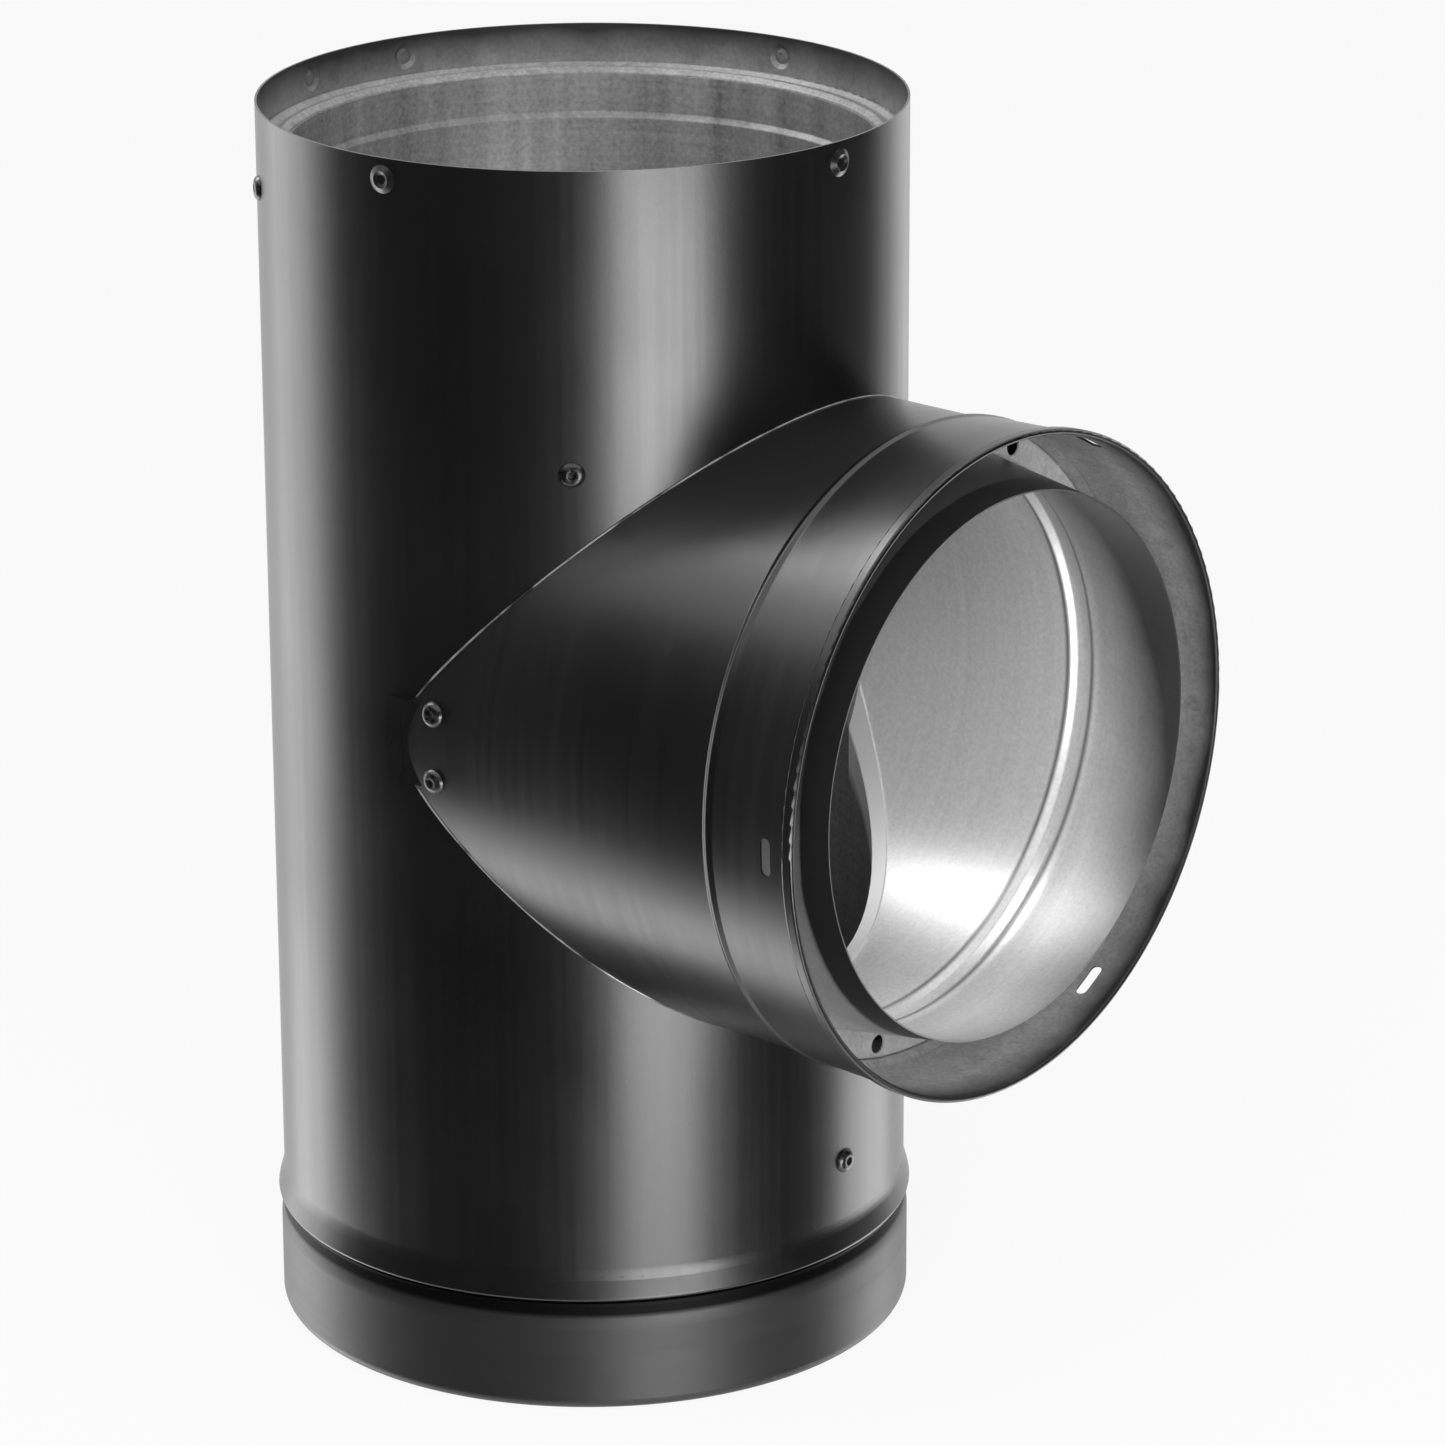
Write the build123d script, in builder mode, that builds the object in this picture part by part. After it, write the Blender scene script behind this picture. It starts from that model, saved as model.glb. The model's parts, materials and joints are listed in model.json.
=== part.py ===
from build123d import *

import os
from math import asin, cos, degrees, radians, sin, sqrt

os.makedirs("parts", exist_ok=True)

# Double-wall stove pipe tee with a clean-out cap.
# Origin on the run's axis, in the plane that the cap stands on. +Z runs up the run and +X
# along the branch. Azimuths about the run are from +X towards +Y, and those about the
# branch from straight up towards +Y. Sizes are in millimetres and degrees.

# Sheet thickness
CASING_WALL = 0.6
LINER_WALL = 0.45
RING_WALL = 0.5
CLIP_WALL = 0.8

# Clearances
SEAT_GAP = 0.05  # between pieces that are fastened together
CAP_GAP = 0.3  # radial, cap skirt over the casing's neck
CUP_GAP = 0.35  # radial, cap cup over the liner
END_GAP = 1.5  # between the tubes' lower ends and the cap
FLARE_GAP = 0.4  # between the cap's top edge and the casing's flare
HOLE_GAP = 0.1  # radial, rivet holes
WEB_GAP = 1.9  # radial, casing's branch hole around the branch liner
HUB_GAP = 0.3  # between the branch liner's bead and the spacer ring's hub

# Outer tube of the run
BRANCH_Z = 182.8  # height of the branch's axis
TOP_LENGTH = 153.0  # from the branch's axis up to the casing's top edge
AIR_GAP = 7.95  # between the two tubes
FLARE_RISE = 1.8
FLARE_LENGTH = 8.0
FLARE_STEP = 1.2
NECK_DEPTH = 1.2  # of the neck below the flare, which the cap grips

# Inner tube of the run
LINER_R = 76.2  # inside radius
LINER_DROP = 12.4  # from the casing's top edge down to the liner's
SOCKET_GROWTH = 1.0
SOCKET_DEPTH = 10.4
SOCKET_TAPER = 1.6
LIP_REACH = 3.35  # of the turned lip around the branch hole

# Outer tube of the branch
BRANCH_REACH = 145.3
SLEEVE_INSET = 0.5  # sleeve's outside radius under the casing's
COLLAR_LENGTH = 29.0
COLLAR_BEAD_RISE = 1.5
COLLAR_BEAD_WIDTH = 3.6
COLLAR_RISE = 1.0
COLLAR_FLARE = 0.9
HEM_RISE = 0.9
HEM_THICKNESS = 1.6
HEM_CORNER_R = 0.7
HEM_WIDTH = 3.4
SLOT_LENGTH = 10.0
SLOT_WIDTH = 3.2
SLOT_INSET = 9.3  # slot centre behind the collar's rim
SLOT_AZIMUTHS = (-91.5, 28.5, 148.5)

# Riveting tabs at the sleeve's sides
TAB_HEIGHT = 22.8
TAB_REACH = 2.5  # beyond the sleeve's edge
TAB_LENGTH = 20.0
TAB_CORNER_R = 2.0

# Inner tube of the branch
LINER_STEP = 0.55  # branch liner's inside radius under the run liner's
LINER_INSET = 1.3  # tip behind the collar's rim
TIP_GROWTH = -4.3
TIP_TAPER = 29.5
LINER_BEAD_INSET = 37.6  # bead centre behind the collar's rim
LINER_BEAD_RISE = 1.6
LINER_BEAD_WIDTH = 7.0

# Branch spacer ring
LEDGE_INSET = 31.2  # ledge face behind the collar's rim
LEDGE_FLANGE = 10.0
LEDGE_HOLE_R = 2.5
LEDGE_HOLE_AZIMUTHS = (28.0, 110.0, 191.5, 290.0)

# Top spacer ring
CREST_DROP = 9.4  # from the casing's top edge down to the ring's crest
GROOVE_DEPTH = 2.2
RIDGE_DEPTH = 1.2
SHOULDER_DEPTH = 2.6
GROOVE_PLACE = 0.43  # shares of the way from the casing to the liner
RIDGE_PLACE = 0.72
TOP_FLANGE = 18.0
TOP_HUB = 8.0

# Bottom spacer ring and liner clips
SPACER_FLANGE = 16.0
SPACER_HUB = 10.0
CLIP_ARC = 9.0
CLIP_FOOT = 11.0
CLIP_STEP = 9.0
CLIP_PAD = 6.0

# Screw dimples around the top end: domes with a dent for the screw's point
DIMPLE_DROP = 5.5
DIMPLE_R = 3.5
DIMPLE_RISE = 0.8
DIMPLE_CROWN_R = 2.2
DENT_R = 1.2
DENT_DEPTH = 0.5
DIMPLE_AZIMUTHS = (-83.9, 1.7, 93.1, 166.8, 190.8)

# Blind rivets
RIVET_HEAD_R = 3.4
RIVET_HEAD_H = 1.3
RIVET_SHOULDER_R = 0.8  # shares of the head's radius and height, on its dome
RIVET_SHOULDER_H = 0.72
RIVET_CORE_R = 1.1
RIVET_CORE_DEPTH = 1.0
RIVET_SHANK_R = 2.0
RIVET_TAIL_R = 2.7
RIVET_TAIL_H = 1.6
SADDLE_RIVET_X = 22.3
SADDLE_RIVET_PITCH = 18.2
SADDLE_RIVET_GRIP = 4.0
TOP_RIVET_DROP = 20.9  # from the casing's top edge
TOP_RIVET_AZIMUTHS = (-128.0, 52.0)
UPPER_RIVET_RISE = 74.9  # from the branch's axis
UPPER_RIVET_AZIMUTHS = (-50.2, 129.8)
LOWER_RIVET_RISE = 56.8  # from the surface that the cap stands on
LOWER_RIVET_AZIMUTHS = (4.0, 184.0)

# Clean-out cap
CAP_WALL = 0.6
CAP_HEIGHT = 30.2
CAP_NECK_LENGTH = 0.8
CAP_SHOULDER_RISE = 1.3
CAP_SHOULDER_LENGTH = 4.4
CAP_CORNER_R = 3.0
CAP_FOOT_WIDTH = 2.6
CAP_FOOT_SLOPE = 1.5
CAP_RECESS = 3.6
CUP_HEIGHT = 21.5
CUP_CORNER_R = 1.5
CUP_FLARE = 0.6
CUP_FLARE_LENGTH = 2.0
CAP_RIVET_PITCH_R = 55.0
CAP_RIVET_COUNT = 3
CAP_RIVET_AZIMUTH = 90.0
CAP_RIVET_HEAD_H = 1.0

# Bends in formed sheet, at the drawn side
TIGHT_BEND = 0.9
BEND = 1.2
SOFT_BEND = 12.0

# Sizes that follow
tee_height = BRANCH_Z + TOP_LENGTH
liner_outer_r = LINER_R + LINER_WALL
lip_edge_r = liner_outer_r + LIP_REACH
casing_inner_r = liner_outer_r + AIR_GAP
casing_r = casing_inner_r + CASING_WALL
ring_flange_r = casing_inner_r - SEAT_GAP
liner_top = tee_height - LINER_DROP
socket_r = LINER_R + SOCKET_GROWTH
ring_crest_z = tee_height - CREST_DROP
ring_hub_r = socket_r + LINER_WALL + SEAT_GAP
branch_liner_r = LINER_R - LINER_STEP
branch_liner_outer_r = branch_liner_r + LINER_WALL
lip_outer_r = branch_liner_r - SEAT_GAP
sleeve_r = casing_r - SLEEVE_INSET
sleeve_seat_r = casing_r + SEAT_GAP
ledge_x = BRANCH_REACH - LEDGE_INSET
ledge_flange_r = sleeve_r - CASING_WALL - SEAT_GAP
ledge_hub_r = branch_liner_outer_r + SEAT_GAP
liner_bead_x = BRANCH_REACH - LINER_BEAD_INSET
hub_end_x = liner_bead_x + LINER_BEAD_WIDTH / 2 + LINER_WALL + HUB_GAP
neck_r = casing_r - NECK_DEPTH
cap_neck_r = neck_r + CAP_GAP + CAP_WALL
cap_r = cap_neck_r + CAP_SHOULDER_RISE
cap_floor_top = CAP_RECESS + CAP_WALL
cup_r = liner_outer_r + CUP_GAP
cup_floor_top = cap_floor_top + SEAT_GAP + RING_WALL
casing_foot = CAP_CORNER_R + END_GAP
liner_foot = cup_floor_top + END_GAP
flare_foot = CAP_HEIGHT + FLARE_GAP
spacer_z = LOWER_RIVET_RISE - SPACER_FLANGE / 2
rivet_hole_r = RIVET_SHANK_R + HOLE_GAP
ring_grip = CASING_WALL + SEAT_GAP + RING_WALL
clip_grip = CASING_WALL + SEAT_GAP + CLIP_WALL
cap_grip = CAP_WALL + SEAT_GAP + RING_WALL
past_all = 2 * tee_height  # long enough to cut through everything

run_section = Plane.XZ
branch_section = Plane(origin=(0, 0, BRANCH_Z), x_dir=(1, 0, 0), z_dir=(0, -1, 0))
branch_across = Plane(origin=(0, 0, BRANCH_Z), x_dir=(0, 1, 0), z_dir=(1, 0, 0))
branch_axis = Axis((0, 0, BRANCH_Z), (1, 0, 0))


def sheet(plane, wall, side, points, bends):
    """Half section of formed sheet: a bent line on the plane with the wall on one side."""
    with BuildSketch(plane) as section:
        with BuildLine():
            FilletPolyline(*points, radius=bends)
            offset(amount=wall, side=side, closed=True)
        make_face()
    return section.sketch


def run_seat(azimuth, height, radius):
    """Plane on the run's wall: normal outward, local y up."""
    out = Vector(cos(radians(azimuth)), sin(radians(azimuth)), 0)
    level = Vector(-out.Y, out.X, 0)
    return Plane(origin=out * radius + Vector(0, 0, height), x_dir=level, z_dir=out)


def branch_seat(along, azimuth, radius):
    """Plane on the branch's wall: normal outward, local x along the branch."""
    out = Vector(0, sin(radians(azimuth)), cos(radians(azimuth)))
    start = out * radius + Vector(along, 0, BRANCH_Z)
    return Plane(origin=start, x_dir=(1, 0, 0), z_dir=out)


def half_section(seat):
    """Plane through a seat's normal, with local y along the normal."""
    return Plane(origin=seat.origin, x_dir=seat.x_dir, z_dir=seat.x_dir.cross(seat.z_dir))


def blind_rivet(seat, grip, head_h):
    """Blind rivet: domed head with a hollow core on the seat, and its tail behind the grip."""
    tail_top = -grip - SEAT_GAP
    tail_end = tail_top - RIVET_TAIL_H
    core_floor = head_h - RIVET_CORE_DEPTH
    shoulder = (RIVET_HEAD_R * RIVET_SHOULDER_R, head_h * RIVET_SHOULDER_H)
    with BuildPart() as rivet:
        with BuildSketch(half_section(seat)):
            with BuildLine():
                Polyline(
                    (RIVET_CORE_R, head_h),
                    (RIVET_CORE_R, core_floor),
                    (0, core_floor),
                    (0, tail_end),
                    (RIVET_SHANK_R, tail_end),
                    (RIVET_TAIL_R, (tail_top + tail_end) / 2),
                    (RIVET_TAIL_R, tail_top),
                    (RIVET_SHANK_R, tail_top),
                    (RIVET_SHANK_R, 0),
                    (RIVET_HEAD_R, 0),
                )
                ThreePointArc((RIVET_HEAD_R, 0), shoulder, (RIVET_CORE_R, head_h))
            make_face()
        revolve(axis=Axis(seat.origin, seat.z_dir))
    return rivet.part


def save(piece, name):
    """Label a finished piece and write its file."""
    piece.part.label = name
    export_step(piece.part, f"parts/{name}.step")


# Places of the rivets and dimples
top_rivet_z = tee_height - TOP_RIVET_DROP
upper_rivet_z = BRANCH_Z + UPPER_RIVET_RISE
top_rivet_seats = [run_seat(a, top_rivet_z, casing_r) for a in TOP_RIVET_AZIMUTHS]
upper_rivet_seats = [run_seat(a, upper_rivet_z, casing_r) for a in UPPER_RIVET_AZIMUTHS]
lower_rivet_seats = [run_seat(a, LOWER_RIVET_RISE, casing_r) for a in LOWER_RIVET_AZIMUTHS]
dimple_seats = [run_seat(a, tee_height - DIMPLE_DROP, casing_r) for a in DIMPLE_AZIMUTHS]
half_pitch = degrees(asin(SADDLE_RIVET_PITCH / 2 / sleeve_r))
saddle_rivet_azimuths = [side * (90 + step * half_pitch) for side in (-1, 1) for step in (-1, 1)]
saddle_rivet_seats = [branch_seat(SADDLE_RIVET_X, a, sleeve_r) for a in saddle_rivet_azimuths]
cap_rivet_seats = []
for copy in range(CAP_RIVET_COUNT):
    turn = radians(CAP_RIVET_AZIMUTH + 360 * copy / CAP_RIVET_COUNT)
    below = (CAP_RIVET_PITCH_R * cos(turn), CAP_RIVET_PITCH_R * sin(turn), CAP_RECESS)
    cap_rivet_seats.append(Plane(origin=below, x_dir=(1, 0, 0), z_dir=(0, 0, -1)))

# Outer tube of the run: neck for the cap, flare, branch hole, dimples at the top
with BuildPart() as run_casing:
    profile = [
        (neck_r, casing_foot),
        (neck_r, flare_foot),
        (casing_r + FLARE_RISE, flare_foot + FLARE_STEP),
        (casing_r, flare_foot + FLARE_LENGTH),
        (casing_r, tee_height),
    ]
    bends = [TIGHT_BEND, TIGHT_BEND, SOFT_BEND]
    revolve(sheet(run_section, CASING_WALL, Side.LEFT, profile, bends), axis=Axis.Z)
    with BuildSketch(branch_across):
        Circle(branch_liner_outer_r + WEB_GAP)
    extrude(amount=casing_r + FLARE_RISE, mode=Mode.SUBTRACT)
    with Locations(*dimple_seats):
        Hole(DIMPLE_R, depth=2 * CASING_WALL)
    edge_r = DIMPLE_R + CASING_WALL / 2
    edge_drop = casing_r - sqrt(casing_r**2 - edge_r**2)
    for seat in dimple_seats:
        with BuildSketch(half_section(seat)):
            with BuildLine():
                Polyline(
                    (edge_r, -edge_drop),
                    (DIMPLE_CROWN_R, DIMPLE_RISE),
                    (DENT_R, DIMPLE_RISE - DENT_DEPTH),
                    (0, DIMPLE_RISE - DENT_DEPTH),
                    (0, DIMPLE_RISE - DENT_DEPTH - CASING_WALL),
                    (DENT_R, DIMPLE_RISE - DENT_DEPTH - CASING_WALL),
                    (DIMPLE_CROWN_R, DIMPLE_RISE - CASING_WALL),
                    (DIMPLE_R, -CASING_WALL),
                    (edge_r, -CASING_WALL),
                    close=True,
                )
            make_face()
        revolve(axis=Axis(seat.origin, seat.z_dir))
    with Locations(*top_rivet_seats, *upper_rivet_seats, *lower_rivet_seats):
        Hole(rivet_hole_r, depth=2 * CASING_WALL)
    with Locations(*saddle_rivet_seats):
        Hole(rivet_hole_r, depth=SADDLE_RIVET_GRIP)
save(run_casing, "run_casing")

# Turned lip around the run liner's branch hole
with BuildPart() as liner_lip:
    with BuildSketch(branch_across):
        Circle(lip_outer_r)
        Circle(lip_outer_r - LINER_WALL, mode=Mode.SUBTRACT)
    extrude(amount=casing_r)
    Cylinder(lip_edge_r, past_all, mode=Mode.INTERSECT)
    Cylinder(LINER_R + LINER_WALL / 4, past_all, mode=Mode.SUBTRACT)

# Inner tube of the run: widened socket at the top, lipped branch hole
with BuildPart() as run_liner:
    profile = [
        (LINER_R, liner_foot),
        (LINER_R, liner_top - SOCKET_DEPTH - SOCKET_TAPER),
        (socket_r, liner_top - SOCKET_DEPTH),
        (socket_r, liner_top),
    ]
    bends = [TIGHT_BEND, TIGHT_BEND]
    revolve(sheet(run_section, LINER_WALL, Side.RIGHT, profile, bends), axis=Axis.Z)
    with BuildSketch(branch_across):
        Circle(lip_outer_r - LINER_WALL / 2)
    extrude(amount=casing_r, mode=Mode.SUBTRACT)
    add(liner_lip.part)
save(run_liner, "run_liner")

# Ring that closes the gap between the two tubes below the run's top edge
with BuildPart() as top_spacer_ring:
    ring_gap = ring_flange_r - ring_hub_r
    profile = [
        (ring_flange_r, ring_crest_z - TOP_FLANGE),
        (ring_flange_r, ring_crest_z),
        (ring_flange_r - GROOVE_PLACE * ring_gap, ring_crest_z - GROOVE_DEPTH),
        (ring_flange_r - RIDGE_PLACE * ring_gap, ring_crest_z - RIDGE_DEPTH),
        (ring_hub_r, ring_crest_z - SHOULDER_DEPTH),
        (ring_hub_r, ring_crest_z - SHOULDER_DEPTH - TOP_HUB),
    ]
    bends = [TIGHT_BEND, TIGHT_BEND, TIGHT_BEND, TIGHT_BEND]
    revolve(sheet(run_section, RING_WALL, Side.LEFT, profile, bends), axis=Axis.Z)
    with Locations(*top_rivet_seats):
        Hole(rivet_hole_r, depth=2 * ring_grip)
save(top_spacer_ring, "top_spacer_ring")

# Ring that centres the liner near the run's lower end
with BuildPart() as bottom_spacer_ring:
    spacer_hub_r = liner_outer_r + SEAT_GAP
    profile = [
        (ring_flange_r, spacer_z + SPACER_FLANGE),
        (ring_flange_r, spacer_z),
        (spacer_hub_r, spacer_z),
        (spacer_hub_r, spacer_z + SPACER_HUB),
    ]
    revolve(sheet(run_section, RING_WALL, Side.RIGHT, profile, [BEND, BEND]), axis=Axis.Z)
    with Locations(*lower_rivet_seats):
        Hole(rivet_hole_r, depth=2 * ring_grip)
save(bottom_spacer_ring, "bottom_spacer_ring")

# Spring clips that bear on the liner above the branch
for number, azimuth in enumerate(UPPER_RIVET_AZIMUTHS, 1):
    with BuildPart() as liner_clip:
        foot_z = upper_rivet_z - CLIP_FOOT / 2
        step_z = foot_z + CLIP_FOOT
        pad_r = liner_outer_r + SEAT_GAP + CLIP_WALL
        profile = [
            (ring_flange_r, foot_z),
            (ring_flange_r, step_z),
            (pad_r, step_z + CLIP_STEP),
            (pad_r, step_z + CLIP_STEP + CLIP_PAD),
        ]
        edge = radians(azimuth - CLIP_ARC / 2)
        outward = (cos(edge), sin(edge), 0)
        clip_section = Plane(origin=(0, 0, 0), x_dir=outward, z_dir=(sin(edge), -cos(edge), 0))
        clip_sheet = sheet(clip_section, CLIP_WALL, Side.LEFT, profile, [BEND, BEND])
        revolve(clip_sheet, axis=Axis.Z, revolution_arc=CLIP_ARC)
        with Locations(upper_rivet_seats[number - 1]):
            Hole(rivet_hole_r, depth=2 * clip_grip)
    save(liner_clip, f"liner_clip_{number}")

# Outer tube of the branch: cut to the run, with two tabs, a beaded collar and a hem
side_edge_x = sqrt(sleeve_seat_r**2 - sleeve_r**2)
tab_middle = (side_edge_x - TAB_REACH + TAB_LENGTH / 2, 0)
tabs = []
for side in (-1, 1):
    with BuildPart() as tab:
        with BuildSketch(Plane(origin=(0, 0, BRANCH_Z), x_dir=(1, 0, 0), z_dir=(0, side, 0))):
            with Locations(tab_middle):
                RectangleRounded(TAB_LENGTH, TAB_HEIGHT, radius=TAB_CORNER_R)
        extrude(amount=casing_r + 2 * CASING_WALL)
        Cylinder(sleeve_seat_r + CASING_WALL, past_all, mode=Mode.INTERSECT)
        Cylinder(sleeve_seat_r - CASING_WALL, past_all, mode=Mode.SUBTRACT)
    tabs.append(tab.part)

with BuildPart() as branch_sleeve:
    collar_x = BRANCH_REACH - COLLAR_LENGTH
    hem_x = BRANCH_REACH - HEM_WIDTH / 2
    hem_r = sleeve_r + COLLAR_RISE + COLLAR_FLARE
    profile = [
        (0, sleeve_r),
        (collar_x - COLLAR_BEAD_WIDTH / 2, sleeve_r),
        (collar_x, sleeve_r + COLLAR_BEAD_RISE),
        (collar_x + COLLAR_BEAD_WIDTH / 2, sleeve_r + COLLAR_RISE),
        (hem_x, hem_r),
    ]
    bends = [BEND, BEND, BEND]
    revolve(sheet(branch_section, CASING_WALL, Side.RIGHT, profile, bends), axis=branch_axis)
    with BuildSketch(branch_section):
        with Locations((hem_x, hem_r + HEM_RISE - HEM_THICKNESS / 2)):
            RectangleRounded(HEM_WIDTH, HEM_THICKNESS, radius=HEM_CORNER_R)
    revolve(axis=branch_axis)
    add(tabs)
    Cylinder(sleeve_seat_r, past_all, mode=Mode.SUBTRACT)
    with Locations(*saddle_rivet_seats):
        Hole(rivet_hole_r, depth=SADDLE_RIVET_GRIP)
    for azimuth in SLOT_AZIMUTHS:
        with BuildSketch(branch_seat(BRANCH_REACH - SLOT_INSET, azimuth, sleeve_r)):
            SlotOverall(SLOT_LENGTH, SLOT_WIDTH, rotation=90)
        extrude(amount=COLLAR_RISE + COLLAR_BEAD_RISE, both=True, mode=Mode.SUBTRACT)
save(branch_sleeve, "branch_sleeve")

# Inner tube of the branch: beaded, with a tapered end that enters the next pipe
with BuildPart() as branch_liner:
    tip_x = BRANCH_REACH - LINER_INSET
    bead_r = branch_liner_r + LINER_BEAD_RISE
    profile = [
        (0, branch_liner_r),
        (liner_bead_x - LINER_BEAD_WIDTH / 2, branch_liner_r),
        (liner_bead_x - LINER_BEAD_WIDTH / 4, bead_r),
        (liner_bead_x + LINER_BEAD_WIDTH / 4, bead_r),
        (liner_bead_x + LINER_BEAD_WIDTH / 2, branch_liner_r),
        (tip_x - TIP_TAPER, branch_liner_r),
        (tip_x, branch_liner_r + TIP_GROWTH),
    ]
    bends = [TIGHT_BEND, TIGHT_BEND, TIGHT_BEND, TIGHT_BEND, SOFT_BEND]
    revolve(sheet(branch_section, LINER_WALL, Side.LEFT, profile, bends), axis=branch_axis)
    Cylinder(liner_outer_r + SEAT_GAP, past_all, mode=Mode.SUBTRACT)
save(branch_liner, "branch_liner")

# Ring with round holes that holds the branch liner in the sleeve
with BuildPart() as branch_spacer_ring:
    profile = [
        (ledge_x - LEDGE_FLANGE, ledge_flange_r),
        (ledge_x, ledge_flange_r),
        (ledge_x, ledge_hub_r),
        (hub_end_x, ledge_hub_r),
    ]
    bends = [BEND, TIGHT_BEND]
    revolve(sheet(branch_section, RING_WALL, Side.RIGHT, profile, bends), axis=branch_axis)
    pitch_r = (ledge_flange_r + ledge_hub_r) / 2
    with BuildSketch(branch_across.offset(ledge_x)):
        for azimuth in LEDGE_HOLE_AZIMUTHS:
            turn = radians(azimuth)
            with Locations((pitch_r * sin(turn), pitch_r * cos(turn))):
                Circle(LEDGE_HOLE_R)
    extrude(amount=-2 * RING_WALL, mode=Mode.SUBTRACT)
save(branch_spacer_ring, "branch_spacer_ring")

# Clean-out cap: sloping shoulder, rounded corner, foot ring and a raised floor panel
with BuildPart() as cap_shell:
    shoulder_top = CAP_HEIGHT - CAP_NECK_LENGTH
    foot_r = cap_r - CAP_CORNER_R - CAP_FOOT_WIDTH
    profile = [
        (cap_neck_r, CAP_HEIGHT),
        (cap_neck_r, shoulder_top),
        (cap_r, shoulder_top - CAP_SHOULDER_LENGTH),
        (cap_r, 0),
        (foot_r, 0),
        (foot_r - CAP_FOOT_SLOPE, CAP_RECESS),
        (0, CAP_RECESS),
    ]
    bends = [TIGHT_BEND, SOFT_BEND, CAP_CORNER_R, BEND, BEND]
    revolve(sheet(run_section, CAP_WALL, Side.RIGHT, profile, bends), axis=Axis.Z)
    with Locations(*cap_rivet_seats):
        Hole(rivet_hole_r, depth=2 * cap_grip)
save(cap_shell, "cap_shell")

# Inner cup of the cap, which closes the run liner
with BuildPart() as cap_cup:
    cup_top = cup_floor_top + CUP_HEIGHT
    profile = [
        (cup_r + CUP_FLARE, cup_top),
        (cup_r, cup_top - CUP_FLARE_LENGTH),
        (cup_r, cup_floor_top),
        (0, cup_floor_top),
    ]
    bends = [BEND, CUP_CORNER_R]
    revolve(sheet(run_section, RING_WALL, Side.LEFT, profile, bends), axis=Axis.Z)
    with Locations(*cap_rivet_seats):
        Hole(rivet_hole_r, depth=2 * cap_grip)
save(cap_cup, "cap_cup")

# Rivets
rivet_groups = (
    ("saddle_rivet", saddle_rivet_seats, SADDLE_RIVET_GRIP, RIVET_HEAD_H),
    ("top_rivet", top_rivet_seats, ring_grip, RIVET_HEAD_H),
    ("upper_rivet", upper_rivet_seats, clip_grip, RIVET_HEAD_H),
    ("lower_rivet", lower_rivet_seats, ring_grip, RIVET_HEAD_H),
    ("cap_rivet", cap_rivet_seats, cap_grip, CAP_RIVET_HEAD_H),
)
for name, seats, grip, head_h in rivet_groups:
    for number, seat in enumerate(seats, 1):
        rivet = blind_rivet(seat, grip, head_h)
        rivet.label = f"{name}_{number}"
        export_step(rivet, f"parts/{rivet.label}.step")
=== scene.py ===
import json
from math import cos, pi, radians, sin, sqrt, tan

import bpy
from mathutils import Matrix, Vector


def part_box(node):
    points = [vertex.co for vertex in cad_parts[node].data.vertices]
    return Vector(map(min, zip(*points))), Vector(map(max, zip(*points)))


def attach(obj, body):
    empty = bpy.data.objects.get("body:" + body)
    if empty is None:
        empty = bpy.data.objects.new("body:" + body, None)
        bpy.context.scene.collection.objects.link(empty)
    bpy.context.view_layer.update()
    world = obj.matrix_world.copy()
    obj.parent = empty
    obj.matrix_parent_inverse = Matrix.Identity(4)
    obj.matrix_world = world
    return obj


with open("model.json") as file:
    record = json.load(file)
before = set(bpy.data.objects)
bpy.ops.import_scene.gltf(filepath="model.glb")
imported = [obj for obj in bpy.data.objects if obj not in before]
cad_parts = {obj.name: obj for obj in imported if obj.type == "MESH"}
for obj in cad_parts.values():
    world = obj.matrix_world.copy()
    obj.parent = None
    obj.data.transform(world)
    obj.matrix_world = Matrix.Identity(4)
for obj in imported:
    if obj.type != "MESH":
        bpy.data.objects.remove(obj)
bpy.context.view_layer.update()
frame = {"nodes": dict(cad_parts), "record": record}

# Lengths are in metres, as in the frame: origin under the run's axis, +Z up the run, +X along
# the branch. Angles are in degrees where they aren't turned into radians at once.

# Camera, as fitted to the photograph
CAMERA_PLACE = Vector((1.0576, -1.1621, 0.7000))
CAMERA_YAW = radians(-41.0)
CAMERA_PITCH = radians(-18.88)
CAMERA_ROLL = radians(-0.21)
CAMERA_LENS = 153.70  # mm
CAMERA_REACH = 20  # far clip
SENSOR = 36.0  # mm
VIEW_AZIMUTH = -47.7  # of the camera, seen from the tee

# The tee: its ends come from the frame, and its radii are those of the part's source
casing_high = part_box("run_casing")[1]
collar_low, collar_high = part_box("branch_sleeve")
cap_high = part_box("cap_shell")[1]
BRANCH_Z = (collar_low.z + collar_high.z) / 2
AIM = Vector((0, 0, casing_high.z / 2))
CASING_R = 0.0852
SLEEVE_R = 0.0847
BRANCH_NODES = ("branch_sleeve", "branch_liner", "branch_spacer_ring")

# Cut edge of the branch's tube, made as two thin wires: their radius, their distance from the
# run's axis, and how far each runs both ways from the sleeve's top or bottom
EDGE_R = 0.0003
EDGE_SEAT_R = CASING_R + 0.6 * EDGE_R
EDGE_SPAN = 81.5
EDGE_STEPS = 160
EDGE_SIDES = 8

# Axes that the sheet pieces are round about: a mask across the axis and a point on it
ROUND_RUN = ((1, 1, 0), (0, 0, 0))
ROUND_BRANCH = ((0, 1, 1), (0, 0, BRANCH_Z))
ALONG_RUN = (0, 0, 1)
ALONG_BRANCH = (1, 0, 0)

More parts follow.
